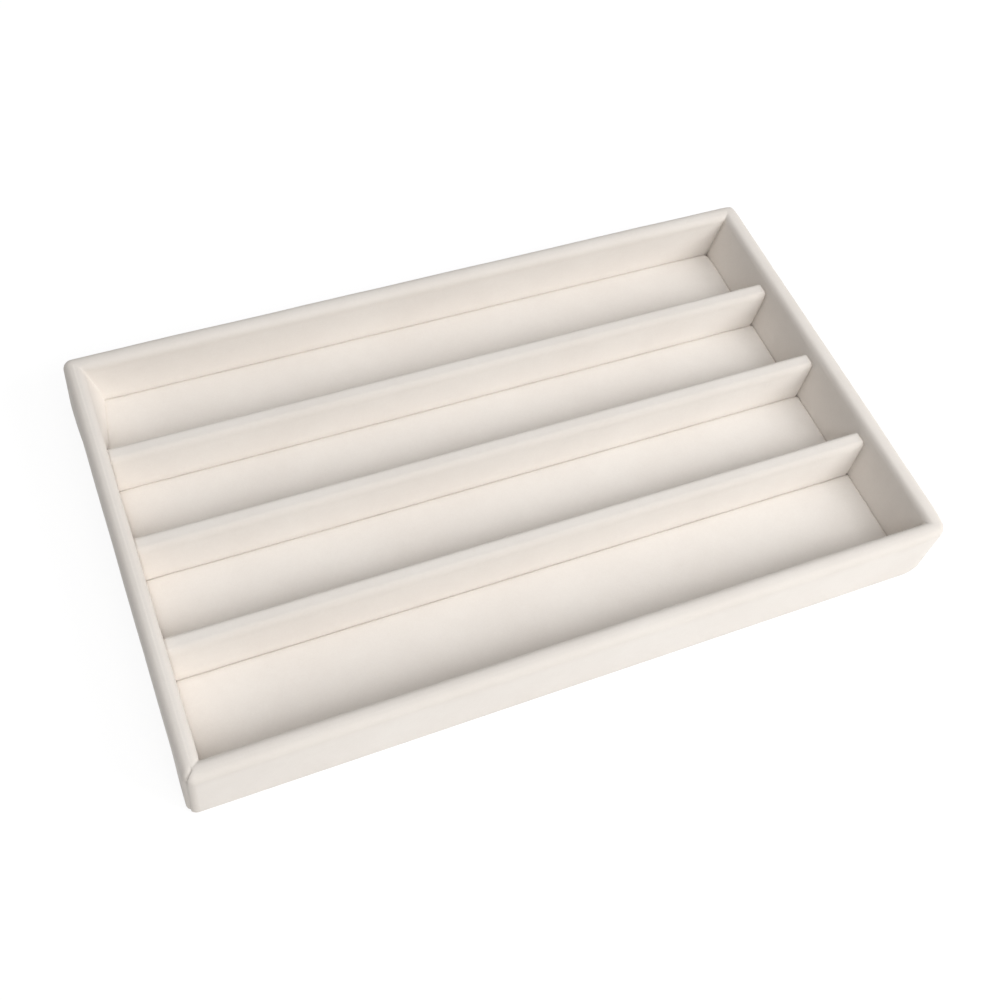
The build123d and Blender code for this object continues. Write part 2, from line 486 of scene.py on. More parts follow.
def grid_faces(rows: int, columns: int, around: bool = False) -> list[tuple[int, int, int, int]]:
    """Quads of a grid of points, row by row.

    Args:
        rows: How many rows of points there are.
        columns: How many points a row has.
        around: Whether a row's last point joins its first.

    Returns:
        The quads, each as four point numbers.
    """
    quads = []
    for r in range(rows - 1):
        for c in range(columns if around else columns - 1):
            d = (c + 1) % columns
            quads.append((r * columns + c, r * columns + d, (r + 1) * columns + d, (r + 1) * columns + c))
    return quads


def grid_normals(points: np.ndarray) -> np.ndarray:
    """Outward directions of a grid of points.

    Args:
        points: The points, as rows.

    Returns:
        One direction of length 1 for each point, from its neighbours along both ways.
    """
    along = np.gradient(points, axis=1)
    across = np.gradient(points, axis=0)
    normals = np.cross(along, across)
    return normals / np.maximum(np.linalg.norm(normals, axis=2, keepdims=True), 1e-12)


def waves(points: np.ndarray, size_mm: float, seed: float) -> np.ndarray:
    """Smooth unevenness between about -1 and 1 at each point.

    Args:
        points: Points in metres, in an array of any shape that ends in 3.
        size_mm: Width of one swell.
        seed: Moves the pattern, so that two pieces differ.

    Returns:
        One value for each point.
    """
    flat = points.reshape(-1, 3) / (size_mm * MM) + seed
    return np.array([noise.noise(Vector(p)) for p in flat]).reshape(points.shape[:-1])


def rounded_turn(
    before: Sequence[float], corner: Sequence[float], after: Sequence[float], radius: float, steps: int
) -> np.ndarray:
    """An arc that rounds a corner between two straight lines.

    Args:
        before: A point on the line that comes in.
        corner: The sharp corner.
        after: A point on the line that goes out.
        radius: The arc's radius.
        steps: How many parts it has.

    Returns:
        The arc's points, from the first line to the second.
    """
    corner = np.asarray(corner, float)
    first = np.asarray(before, float) - corner
    second = np.asarray(after, float) - corner
    first, second = first / np.linalg.norm(first), second / np.linalg.norm(second)
    opening = math.acos(float(np.clip(first @ second, -1, 1)))
    middle = corner + (first + second) / np.linalg.norm(first + second) * radius / math.sin(opening / 2)
    start = corner + first * radius / math.tan(opening / 2) - middle
    end = corner + second * radius / math.tan(opening / 2) - middle
    swing = math.pi - opening
    shares = np.linspace(0, 1, steps + 1)[:, None]
    return middle + (np.sin((1 - shares) * swing) * start + np.sin(shares * swing) * end) / math.sin(swing)


def apply_modifiers(piece: bpy.types.Object) -> None:
    """Turns a piece and its modifiers into one plain mesh.

    Args:
        piece: The piece, which loses its modifiers.
    """
    bpy.context.view_layer.update()
    evaluated = piece.evaluated_get(bpy.context.evaluated_depsgraph_get())
    mesh = bpy.data.meshes.new_from_object(evaluated)
    mesh.name = piece.name
    piece.modifiers.clear()
    piece.data = mesh


@contextmanager
def edited(piece: bpy.types.Object) -> Iterator[bmesh.types.BMesh]:
    """Opens a piece's mesh for editing, and writes it back.

    Args:
        piece: The piece.

    Yields:
        Its mesh.
    """
    mesh = bmesh.new()
    mesh.from_mesh(piece.data)
    yield mesh
    mesh.to_mesh(piece.data)
    mesh.free()


def lofted(name: str, rows: np.ndarray) -> bpy.types.Object:
    """Makes a closed solid from rows of points that each go once round it.

    Args:
        name: The piece's name.
        rows: The points of each row, in metres.

    Returns:
        The piece.
    """
    count, around = rows.shape[:2]
    last = (count - 1) * around
    caps = [tuple(reversed(range(around))), tuple(range(last, last + around))]
    piece = piece_of(name, rows.reshape(-1, 3), grid_faces(count, around, True) + caps)
    with edited(piece) as mesh:
        bmesh.ops.recalc_face_normals(mesh, faces=mesh.faces)
    return piece


def mark_bend_shade(piece: bpy.types.Object, full_mm: float = 2.6, passes: int = 3) -> None:
    """Writes how sharply a cover bends outwards, for the velvet's painted edge shade.

    Bends that face the front, where the lamps light rounded edges, count most; the darkening this drives is
    partly the pile opening and partly painted shade.

    Args:
        piece: The cover, as a sheet that looks outwards.
        full_mm: Radius of a bend that counts in full.
        passes: How often each point takes on its neighbours' mean.
    """
    mesh = bmesh.new()
    mesh.from_mesh(piece.data)
    ends = np.array([[v.index for v in edge.verts] for edge in mesh.edges])
    turns, spans = np.zeros(len(ends)), np.ones(len(ends))
    for number, edge in enumerate(mesh.edges):
        if len(edge.link_faces) == 2:
            here, there = (face.calc_center_median() for face in edge.link_faces)
            spans[number] = max((here - there).length, 1e-5)
            turns[number] = edge.calc_face_angle_signed(0.0)
    count = len(mesh.verts)
    # Weight towards front-facing bends, where the front lamps light rounded edges: painted shade.
    facing = np.array([0.5 - 0.5 * vertex.normal.y for vertex in mesh.verts])
    mesh.free()
    bend = np.zeros(count)
    for column in (0, 1):
        np.maximum.at(bend, ends[:, column], turns / spans * full_mm * MM)
    bend = np.clip(bend, 0, 1)
    first, second = ends.T
    links = np.bincount(ends.ravel(), minlength=count)
    for _ in range(passes):
        around = np.bincount(first, bend[second], count) + np.bincount(second, bend[first], count)
        bend = 0.5 * bend + 0.5 * around / np.maximum(links, 1)
    # The bend attribute drives the velvet's painted edge shade.
    layer = piece.data.attributes.new("bend", "FLOAT", "POINT")
    layer.data.foreach_set("value", (bend * facing).astype(np.float32))


def thicken(piece: bpy.types.Object, thickness: float) -> None:
    """Gives a sheet its thickness on its inner side.

    Args:
        piece: The sheet.
        thickness: Its thickness, in millimetres.
    """
    solid = piece.modifiers.new("cloth thickness", "SOLIDIFY")
    solid.thickness = thickness * MM
    solid.offset = -1.0
    solid.use_even_offset = False


def settle(piece: bpy.types.Object, finish: Finish, stands_for: Iterable[str] = ()) -> bpy.types.Object:
    """Dresses a piece and lets it ride with the tray.

    Args:
        piece: The finished piece.
        finish: What it is made of.
        stands_for: The CAD nodes that it replaces.

    Returns:
        The same piece.
    """
    finish.dress(piece)
    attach(piece, "root")
    nodes = list(stands_for)
    if nodes:
        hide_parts(*nodes)
    log.info("%s: %d faces, for %s", piece.name, len(piece.data.polygons), ", ".join(nodes) or "itself")
    return piece


# The tray's own measures


class Side(Enum):
    """The tray's four sides; each value is the name that its nodes start with."""

    FRONT = "front_wall"
    RIGHT = "right_end"
    BACK = "back_wall"
    LEFT = "left_end"


@dataclass(frozen=True)
class TrayMeasures:
    """Sizes that several parts of the tray share, nearly all as in the CAD model.

    The left lining is steeper here, as in the photo. The last eight draw in the front
    right corner and the foot of the left end.
    """

    length: float = 352.0
    width: float = 215.0
    height: float = 32.5
    corner_radius: float = 4.5
    rim_radius: float = 3.8
    foot_radius: float = 1.6
    velvet: float = 1.0
    board: float = 6.0
    rim_depth: float = 8.7
    floor_depth: float = 10.3
    left_rim_depth: float = 8.3
    left_floor_depth: float = 9.0
    right_floor_depth: float = 15.1
    hem_bottom: float = 0.5
    base_top: float = 4.0
    card_top: float = 5.0
    floor_top: float = 8.4
    divider_top: float = 28.0
    eased_reach: float = 16.0
    eased_rim: float = 1.6
    eased_foot: float = 3.2
    bowed_foot: float = 2.4
    bowed_height: float = 15.0
    bowed_reach: float = 12.0
    bowed_middle: float = 100.0
    bowed_fade: float = 60.0

    def lean(self, side: "Side") -> tuple[float, float]:
        """How far in a side's lining lies at the rim and at the floor.

        Args:
            side: The side of the tray.

        Returns:
            The two depths.
        """
        if side is Side.LEFT:
            return self.left_rim_depth, self.left_floor_depth
        return self.rim_depth, self.right_floor_depth if side is Side.RIGHT else self.floor_depth

    def depth_at(self, level: float, side: "Side") -> float:
        """How far in from the outside a side's lining lies at a level, as it leans.

        Args:
            level: The level, in millimetres.
            side: The side of the tray.

        Returns:
            The depth, in millimetres.
        """
        rim, low = self.lean(side)
        rise = (level - self.floor_top) / (self.height - self.floor_top)
        return low + (rim - low) * min(max(rise, 0.0), 1.0)


TRAY = TrayMeasures()
DIVIDERS = ("front", "middle", "rear")
LANES = ("front", "second", "third", "rear")


def eased(points: np.ndarray, tray: TrayMeasures) -> np.ndarray:
    """Draws in the front right corner, and the foot of the left end along its middle.

    Args:
        points: Points in metres, in an array of any shape that ends in 3.
        tray: The tray's measures.

    Returns:
        The points, moved.
    """
    reach = tray.eased_reach
    x, y, z = points[..., 0] / MM, points[..., 1] / MM, points[..., 2] / MM
    right = np.clip((x - tray.length / 2) / reach + 1, 0, 1)
    front = np.clip((-y - tray.width / 2) / reach + 1, 0, 1)
    most = np.interp(z, (0, tray.height), (tray.eased_foot, tray.eased_rim))
    moved = points.copy()
    moved[..., 0] -= most * right * front**2 * MM
    moved[..., 1] += most * front * right**2 * MM
    middle = np.clip((tray.bowed_middle - np.abs(y)) / tray.bowed_fade, 0, 1)
    low = np.clip(1 - z / tray.bowed_height, 0, 1)
    outer = np.clip(1 - (x + tray.length / 2) / tray.bowed_reach, 0, 1)
    moved[..., 0] += tray.bowed_foot * middle * middle * (3 - 2 * middle) * low * outer * MM
    return moved


class Corner(Enum):
    """The tray's corners, in the order in which the velvet strip goes round."""

    FRONT_LEFT = (-1, -1)
    FRONT_RIGHT = (1, -1)
    BACK_RIGHT = (1, 1)
    BACK_LEFT = (-1, 1)


@dataclass
class Profile:
    """The velvet strip seen across: one row for each line that runs round the tray.

    depths holds, for each row, how far in from the outside it lies at the front,
    right, back and left.
    """

    levels: list[float] = field(default_factory=list)
    depths: list[tuple[float, float, float, float]] = field(default_factory=list)
    radii: list[float] = field(default_factory=list)

    def row(self, level: float, depths: float | Sequence[float], radius: float = 0.6) -> None:
        """Adds one row.

        Args:
            level: Its level.
            depths: Its depth, or one for each of Side's members.
            radius: Its radius at the corners.
        """
        self.levels.append(level)
        self.depths.append(tuple(depths) if isinstance(depths, Sequence) else (depths,) * 4)
        self.radii.append(max(radius, 0.05))


@dataclass
class WallVelvet:
    """The velvet strip round the walls: hem, outside, rim and leaning lining.

    Its two ends are turned in and meet at the front left corner. outside_held and
    lining_held say up to which level it lies flat and over which run its swells grow.
    """

    tray: TrayMeasures = TRAY
    cloth_share: float = 0.9
    hem_rows: tuple[float, ...] = (16.0, 15.4, 12.0, 8.0, 4.5, 2.6)
    hem_corner: float = 0.4
    foot_from: float = 10.4
    foot_rows: tuple[float, ...] = (9.6, 9.0, 8.6, 8.4, 7.4, 6.2, 5.0, 4.0)
    even_rows: int = 13
    straight: float = 9.0
    foot_steps: int = 5
    rim_steps: int = 8
    rim_crown: float = 0.08
    rim_middle: float = 4.4
    lining_corner: float = 0.5
    sharp_corner_share: float = 0.45
    spacing: float = 2.6
    near_corner: tuple[float, ...] = (0.35, 0.8, 1.5)
    corner_steps: int = 10
    crease_depth: float = 0.7
    crease_width: float = 0.55
    seam_widths: tuple[float, float] = (0.45, 1.7)
    seam_sinks: tuple[float, float] = (0.1, 0.65)
    lining_seam_share: float = 0.2
    seam_gap: float = 0.01
    fold_reach: float = 6.0
    fold_start: float = 60.0
    fold_end: float = 97.2
    fold_run: float = 30.0
    fold_most: float = 1.06
    rim_clear: float = 2.0
    crease_fade: float = 2.5
    sway: float = 0.16
    swell_mm: float = 46.0
    swell_seed: float = 3.7
    ripple_mm: float = 15.0
    ripple_seed: float = 9.1
    ripple_share: float = 0.45
    lining_sway: float = 1.4
    outside_held: tuple[float, float] = (1.0, 4.0)
    lining_held: tuple[float, float] = (8.0, 3.0)
    pinch_depth: float = 0.55
    pinch_width: float = 2.4
    pinch_inset: float = 2.0
    pinch_from: float = 24.0

    def profile(self) -> Profile:
        """Walks from the hem's edge to the foot of the lining.

        Returns:
            The strip seen across.
        """
        t = self.tray
        made = Profile()
        for depth in self.hem_rows:
            made.row(t.hem_bottom, depth, max(t.corner_radius - depth, self.hem_corner))
        under = ((self.straight, t.hem_bottom), (0, t.hem_bottom), (0, self.straight))
        for point in rounded_turn(*under, t.foot_radius, self.foot_steps):
            made.row(point[1], float(point[0]), t.corner_radius - point[0])
        low, high = t.hem_bottom + t.foot_radius, t.height - t.rim_radius
        for level in np.linspace(low, high, self.even_rows)[1:-1]:
            made.row(level, 0.0, t.corner_radius)
        over = ((0, self.straight), (0, t.height), (self.straight, t.height))
        for point in rounded_turn(*over, t.rim_radius, self.rim_steps):
            made.row(point[1], float(point[0]), t.corner_radius - point[0])
        made.row(t.height + self.rim_crown, self.rim_middle, 1.0)
        turns = []
        for rim, foot in map(t.lean, Side):
            down = ((0, t.height), (rim, t.height), (foot, t.floor_top))
            turns.append(rounded_turn(*down, t.rim_radius, self.rim_steps))
        for around in np.stack(turns, axis=1):
            made.row(around[:, 1].mean(), list(around[:, 0]), self.lining_corner)
        even = np.linspace(made.levels[-1], self.foot_from, self.even_rows)[1:]
        for level in (*even, *self.foot_rows):
            made.row(level, [t.depth_at(level, side) for side in Side], self.lining_corner)
        return made

    def ring(self, profile: Profile, row: int) -> np.ndarray:
        """One line round the tray, from the seam to the seam.

        Args:
            profile: The strip seen across.
            row: The number of the line in it.

        Returns:
            The line's points, in metres.
        """
        front, right, back, left = profile.depths[row]
        half_x, half_y = self.tray.length / 2, self.tray.width / 2
        x_of, y_of = {-1: left - half_x, 1: half_x - right}, {-1: front - half_y, 1: half_y - back}
        arcs = []
        for number, corner in enumerate(Corner):
            x, y = x_of[corner.value[0]], y_of[corner.value[1]]
            radius = profile.radii[row] * (self.sharp_corner_share if corner is Corner.BACK_RIGHT else 1.0)
            centre = np.array((x - corner.value[0] * radius, y - corner.value[1] * radius))
            start = math.radians(180 + 90 * number)
            turn = start + np.linspace(0, math.pi / 2, 2 * self.corner_steps + 1)
            arcs.append(centre + radius * np.stack([np.cos(turn), np.sin(turn)], 1))
        lengths = (self.tray.length, self.tray.width, self.tray.length, self.tray.width)
        line = list(arcs[0][self.corner_steps :])
        for number, length in enumerate(lengths):
            following = arcs[(number + 1) % 4]
            near = np.array(self.near_corner) / length
            shares = np.linspace(0, 1, round(length / self.spacing) + 1)[1:-1]
            shares = np.sort(np.concatenate([near, shares, 1 - near]))[:, None]
            line += list(line[-1] + (following[0] - line[-1]) * shares)
            line += list(following if number < 3 else following[: self.corner_steps + 1])
        flat = np.array(line)
        return np.column_stack([flat, np.full(len(flat), profile.levels[row])]) * MM

    def creased(self, points: np.ndarray, lining: np.ndarray) -> np.ndarray:
        """How far the lining is tucked in along its upright corners.

        Args:
            points: The strip's points, in metres.
            lining: Which rows belong to the lining.

        Returns:
            A depth for each point, in millimetres.
        """
        t = self.tray
        x, y, z = points[..., 0] / MM, points[..., 1] / MM, points[..., 2] / MM
        levels = (t.floor_top, t.height)
        side = t.width / 2 - np.interp(z, levels, (t.floor_depth, t.rim_depth))
        right = t.length / 2 - np.interp(z, levels, (t.right_floor_depth, t.rim_depth))
        away = np.hypot(x - right, np.abs(y) - side)
        below_rim = np.clip((t.height - self.rim_clear - z) / self.crease_fade, 0, 1)
        return self.crease_depth * np.exp(-((away / self.crease_width) ** 2)) * below_rim * lining

    def shaped(self, points: np.ndarray, levels: np.ndarray) -> np.ndarray:
        """Adds what handwork leaves: the corner fold, creases and soft swells.

        Args:
            points: The strip's points, in metres, as rows that run round the tray.
            levels: The level of each row, in millimetres.

        Returns:
            The points, moved.
        """
        t = self.tray
        x, y, z = points[..., 0] / MM, points[..., 1] / MM, points[..., 2] / MM
        normals = grid_normals(points)
        lining = np.arange(len(levels))[:, None] > np.argmax(levels)
        # The lining of the left end bulges over the rear pad beside the back corner
        along = np.clip((y - self.fold_start) / (self.fold_end - self.fold_start), 0, self.fold_most)
        high = t.height - self.rim_clear
        down = np.clip((high - z) / (high - t.floor_top), 0, 1)
        over_pad = np.clip((z - t.card_top) / (t.floor_top - t.card_top), 0, 1)
        near_left = np.clip(1 - (x + t.length / 2 - t.left_floor_depth) / self.fold_run, 0, 1)
        points[..., 0] += lining * near_left * along * down * over_pad * self.fold_reach * MM
        # Soft swells, fuller on the padded lining than on the boards
        swell = np.where(lining, self.lining_sway, 1.0) * waves(points, self.swell_mm, self.swell_seed)
        swell += self.ripple_share * waves(points, self.ripple_mm, self.ripple_seed)
        held = (self.outside_held, self.lining_held)
        outer_share, inner_share = (np.clip((z - flat_to) / run, 0, 1) for flat_to, run in held)
        push = self.sway * swell * (outer_share * np.where(lining, inner_share, 1.0))
        # A small pinch where the strip is folded round the back right rim
        away = np.hypot(x + self.pinch_inset - t.length / 2, y + self.pinch_inset - t.width / 2)
        pinch = np.exp(-((away / self.pinch_width) ** 2)) * (z > self.pinch_from) * ~lining
        push = push - self.pinch_depth * pinch - self.creased(points, lining)
        return eased(points + normals * push[..., None] * MM, self.tray)

    def turned_in(self, points: np.ndarray) -> np.ndarray:
        """Sinks both ends of the strip and turns their cut edges in.

        Args:
            points: The strip's points, in metres.

        Returns:
            The points, with one more at each end of a row.
        """
        steps = np.linalg.norm(np.diff(points, axis=1), axis=2) / MM
        run = np.concatenate([np.zeros((len(points), 1)), np.cumsum(steps, axis=1)], axis=1)
        normals = grid_normals(points)
        sink = sum(
            depth * np.exp(-((distance / width) ** 2))
            for depth, width, distance in zip(self.seam_sinks, self.seam_widths, (run, run[:, -1:] - run))
        )
        lining = np.arange(len(points)) > np.argmax(points[:, 0, 2])
        sink = sink * np.where(lining, self.lining_seam_share, 1.0)[:, None]
        points = points - normals * sink[..., None] * MM
        apart = np.array((1.0, -1.0, 0.0)) / math.sqrt(2) * self.seam_gap * MM
        points[:, 0] += apart
        points[:, -1] -= apart
        thickness = self.tray.velvet * self.cloth_share * MM
        edges = [points[:, end] - normals[:, end] * thickness for end in (0, -1)]
        return np.concatenate([edges[0][:, None], points, edges[1][:, None]], axis=1)

    def build(self) -> bpy.types.Object:
        """Makes the strip.

        Returns:
            The piece, which stands for the CAD model's velvet strip.
        """
        profile = self.profile()
        points = np.stack([self.ring(profile, row) for row in range(len(profile.levels))])
        points = self.turned_in(self.shaped(points, np.array(profile.levels)))
        rows, columns = points.shape[:2]
        piece = piece_of("wall_velvet_strip", points.reshape(-1, 3), grid_faces(rows, columns))
        mark_bend_shade(piece)
        thicken(piece, self.tray.velvet * self.cloth_share)
        settle(piece, VELVET, ["wall_velvet"])
        across = self.cut_width(profile) * MM
        around = 2 * (self.tray.length + self.tray.width) * MM - 4 * self.tray.rim_depth * MM
        return piece

    def cut_width(self, profile: Profile) -> float:
        """Measures the width that the strip is cut to.

        Args:
            profile: The strip seen across.

        Returns:
            The profile's length at the front, in millimetres.
        """
        line = np.array([(d[0], level) for d, level in zip(profile.depths, profile.levels)])
        return float(np.linalg.norm(np.diff(line, axis=0), axis=1).sum())


# Covers and pads: one rule, built with Geometry Nodes


@dataclass(frozen=True)
class BoxSizes:
    """The rule's inputs for one piece, in millimetres; only the seed has no unit."""

    length: float
    width: float
    height: float
    length_at_top: float
    width_at_top: float
    upright_part: float
    edge_radius: float
    corner_radius: float
    back_right_radius: float
    sway: float
    sway_size: float
    seed: float
    spacing: float
    shift_at_top: float = 0.0
    left_cut: float = 0.0
    left_cut_run: float = 1.0
    crown: float = 0.0
    swell: float = 0.0


def input_name(field_name: str) -> str:
    """The rule's input for one of the fields of BoxSizes."""
    return field_name.replace("_", " ").capitalize()


@dataclass(frozen=True)
class RoundedBoxRule:
    """A box that leans in towards its top, with rounded upper edges, rounded upright
    edges, a crown, swelling sides and soft unevenness. Its left end is cut off square."""

    name: str = "rounded cover rule"

    def tree(self) -> bpy.types.NodeTree:
        """The rule as a node group, which is made once.

        Returns:
            The group.
        """
        found = bpy.data.node_groups.get(self.name)
        if found is not None:
            return found
        group = bpy.data.node_groups.new(self.name, "GeometryNodeTree")
        names = [input_name(size.name) for size in fields(BoxSizes)]
        sockets = {"Geometry": "Geometry", **dict.fromkeys(names, "Float"), "Finish": "Material"}
        for name, kind in sockets.items():
            group.interface.new_socket(name, in_out="INPUT", socket_type=f"NodeSocket{kind}")
        group.interface.new_socket("Geometry", in_out="OUTPUT", socket_type="NodeSocketGeometry")
        sheet = NodeSheet(group)
        given = sheet.add("NodeGroupInput")
        self.lay_out(sheet, {name: sheet.other(given, name) for name in (*names, "Finish")})
        return group

    def lay_out(self, sheet: NodeSheet, size: dict[str, Term]) -> None:
        """Builds the rule's nodes.

        Args:
            sheet: The tree.
            size: The rule's inputs, by name.
        """
        length, width, height = size["Length"], size["Width"], size["Height"]
        spacing, edge, corner = size["Spacing"], size["Edge radius"], size["Corner radius"]
        sides = (length, width, height)
        counts = {f"Vertices {axis}": side / spacing + 2.0 for axis, side in zip("XYZ", sides)}
        box = sheet.add("GeometryNodeMeshCube", None, {"Size": sheet.joined(*sides), **counts})
        x, y, z = sheet.parts(sheet.add("GeometryNodeInputPosition"))
        z = z + height * 0.5
        is_right = x.math("GREATER_THAN", x, 0.0)
        end = edge.least(corner) * is_right
        kept = (x.within(length * 0.5 - end), y.within(width * 0.5 - edge), z.least(height - edge))
        x, y, z = self.rounded(sheet, (x, y, z), kept, (end, edge, edge))
        is_back = y.math("GREATER_THAN", y, 0.0)
        end = (corner + (size["Back right radius"] - corner) * is_back) * is_right
        kept = (x.within(length * 0.5 - end), y.within(width * 0.5 - end))
        x, y = self.rounded(sheet, (x, y), kept, (end, end))
        # Lean: 0 along the upright part, 1 at the top
        lean = ((z - size["Upright part"]) / (height - size["Upright part"])).held()
        across = y / (width * 0.5)
        hump = lean * (1.0 - lean) * 4.0
        hump = hump.math("SQRT", hump)
        narrow = width * (1.0 - lean) + size["Width at top"] * lean
        short = length * (1.0 - lean) + size["Length at top"] * lean
        from_left = (1.0 - (x / length + 0.5) * length / size["Left cut run"]).held()
        cut = size["Left cut"] * from_left * (y / width + 0.5).held() * lean
        formed = sheet.joined(
            x / length * short + size["Shift at top"] * lean + cut,
            across * 0.5 * (narrow + 2.0 * size["Swell"] * hump),
            z - size["Crown"] * across * across * (z / height),
        )
        piece = sheet.add("GeometryNodeSetPosition", None, {"Geometry": box, "Position": formed})
        # Soft unevenness along the surface's own direction
        now = sheet.add("GeometryNodeInputPosition")
        sockets = {"Vector": now, "W": size["Seed"], "Scale": 1.0 / size["Sway size"], "Detail": 2.0}
        pattern = sheet.add("ShaderNodeTexNoise", {"noise_dimensions": "4D"}, sockets)
        facing = sheet.add("GeometryNodeInputNormal")
        offset = sheet.scaled(facing, (pattern - 0.5) * 2.0 * size["Sway"])
        piece = sheet.add("GeometryNodeSetPosition", None, {"Geometry": piece, "Offset": offset})
        piece = sheet.add("GeometryNodeRealizeInstances", None, {"Geometry": piece})
        piece = sheet.add("GeometryNodeSetShadeSmooth", None, {0: piece})
        piece = sheet.add("GeometryNodeSetMaterial", None, {"Geometry": piece, "Material": size["Finish"]})
        sheet.add("NodeGroupOutput", None, {"Geometry": piece})

    def rounded(
        self, sheet: NodeSheet, place: Sequence[Term], kept: Sequence[Term], radii: Sequence[Term]
    ) -> list[Term]:
        """Rounds edges: what lies outside an inner box goes on to a ball, or in plan a circle.

        Args:
            sheet: The tree.
            place: X, Y and perhaps Z.
            kept: The nearest place in the inner box.
            radii: The rounding's radius along each.

        Returns:
            The rounded coordinates.
        """
        out = [(part - core) / radius for part, core, radius in zip(place, kept, radii)]
        largest = reduce(Term.most, map(abs, out))
        flat = sheet.joined(*out, *[0.0] * (3 - len(out)))
        reach = sheet.add("ShaderNodeVectorMath", {"operation": "LENGTH"}, {0: flat}, "Value")
        share = largest / reach.most(1e-9)
        return [core + part * share * radius for part, core, radius in zip(out, kept, radii)]

    def make(self, name: str, finish: Finish, sizes: BoxSizes, bottom: Vector) -> bpy.types.Object:
        """Makes one piece by the rule.

        Args:
            name: The piece's name.
            finish: What Set Material puts on it.
            sizes: The rule's inputs.
            bottom: The middle of its bottom, in metres.

        Returns:
            The piece as a plain mesh at its place.
        """
        given = {input_name(key): value * MM for key, value in asdict(sizes).items()}
        given |= {"Seed": sizes.seed, "Finish": finish.material()}
        piece = bpy.data.objects.new(name, bpy.data.meshes.new(name))
        bpy.context.scene.collection.objects.link(piece)
        modifier = piece.modifiers.new(self.name, "NODES")
        modifier.node_group = self.tree()
        for item in modifier.node_group.interface.items_tree:
            if item.in_out == "INPUT" and item.name in given:
                modifier[item.identifier] = given[item.name]
        apply_modifiers(piece)
        piece.data.transform(Matrix.Translation(bottom))
        return piece


RULE = RoundedBoxRule()


def open_below(piece: bpy.types.Object, level: float) -> None:
    """Takes a cover's underside away.

    Args:
        piece: A closed cover.
        level: Faces that look down from below this level go, in millimetres.
    """
    with edited(piece) as mesh:
        mesh.normal_update()
        under = [f for f in mesh.faces if f.normal.z < -0.5 and f.calc_center_median().z < level * MM]
        bmesh.ops.delete(mesh, geom=under, context="FACES")


@dataclass
class Divider:
    """One divider: a velvet cover stretched over foam, folded over a board."""

    name: str
    seed: float
    tray: TrayMeasures = TRAY
    half_at_top: float = 3.7
    half_at_floor: float = 6.75
    half_board: float = 1.5
    over_board: float = 1.2
    left_gap: float = -0.06
    edge_radius: float = 3.2
    end_radius: float = 0.8
    swell: float = 0.35
    sway: float = 0.16
    sway_size: float = 34.0
    spacing: float = 1.25
    open_to: float = 0.6
    cloth_share: float = 0.9
    tucked: float = 4.0
    stations: int = 110
    face_rows: int = 9
    fold_steps: int = 5
    foam_sway: float = 0.1
    foam_sway_size: float = 18.0

    def ends(self, level: float, skin: float = 0.0) -> tuple[float, float]:
        """Where the divider ends in X.

        Args:
            level: The level, in millimetres.
            skin: How far inside the cover, in millimetres.

        Returns:
            X at the left and at the right, in millimetres.
        """
        left = -self.tray.length / 2 + self.tray.depth_at(level, Side.LEFT) + self.left_gap + skin
        right = self.tray.length / 2 - self.tray.depth_at(level, Side.RIGHT) - skin
        return left, right

    def sizes(self) -> BoxSizes:
        """The rule's inputs for the cover.

        Returns:
            The inputs.
        """
        t = self.tray
        low, high = self.ends(t.floor_top)
        low_top, high_top = self.ends(t.divider_top)
        return BoxSizes(
            length=high - low,
            width=2 * self.half_at_floor,
            height=t.divider_top - t.base_top,
            length_at_top=high_top - low_top,
            width_at_top=2 * self.half_at_top,
            shift_at_top=(low_top + high_top - low - high) / 2,
            upright_part=t.floor_top - t.base_top,
            edge_radius=self.edge_radius,
            corner_radius=self.end_radius,
            back_right_radius=self.end_radius,
            swell=self.swell,
            sway=self.sway,
            sway_size=self.sway_size,
            seed=self.seed,
            spacing=self.spacing,
        )

    def build(self) -> list[bpy.types.Object]:
        """Makes the cover and the foam under it.

        Returns:
            The two pieces.
        """
        t, sizes = self.tray, self.sizes()
        low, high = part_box(f"{self.name}_divider_velvet")
        y = (low.y + high.y) / 2
        bottom = Vector((sum(self.ends(t.floor_top)) / 2 * MM, y, t.base_top * MM))
        cover = RULE.make(f"{self.name}_divider_cover", VELVET, sizes, bottom)
        open_below(cover, t.base_top + self.open_to)
        mark_bend_shade(cover)
        thicken(cover, t.velvet * self.cloth_share)
        settle(cover, VELVET, [f"{self.name}_divider_velvet"])
        return [cover, self.foam(y)]

    def foam(self, y: float) -> bpy.types.Object:
        """Makes the foam: one sheet folded over the board, rounded at the fold.

        Args:
            y: The divider's place in Y, in metres.

        Returns:
            The piece.
        """
        t, skin = self.tray, self.tray.velvet
        foot, top = self.half_at_floor - skin, t.divider_top - skin
        edge = (self.half_at_top - skin, top)
        rising = np.linspace((foot, t.floor_top), edge, self.face_rows)[:-2]
        bend = rounded_turn(rising[-1], edge, (0, top), self.edge_radius - skin, self.fold_steps)
        half = np.array([(foot, t.base_top), *rising, *bend])
        gap = np.array([(-self.half_board, t.base_top), (-self.half_board, top - self.over_board)])
        section = np.concatenate([half, half[::-1] * (-1, 1), gap, gap[::-1] * (-1, 1)])
        low, high = np.array([self.ends(level, skin) for level in section[:, 1]]).T
        along = low + (high - low) * np.linspace(0, 1, self.stations)[:, None]
        across, level = (np.broadcast_to(part, along.shape) for part in section.T)
        points = np.stack([along * MM, y + across * MM, level * MM], axis=2)
        outside = np.arange(len(section)) < 2 * len(half)
        unevenness = waves(points, self.foam_sway_size, self.seed)
        points[..., 1] += self.foam_sway * MM * unevenness * outside
        piece = lofted(f"{self.name}_divider_foam", points)
        settle(piece, FOAM, [f"{self.name}_divider_padding"])
        return piece


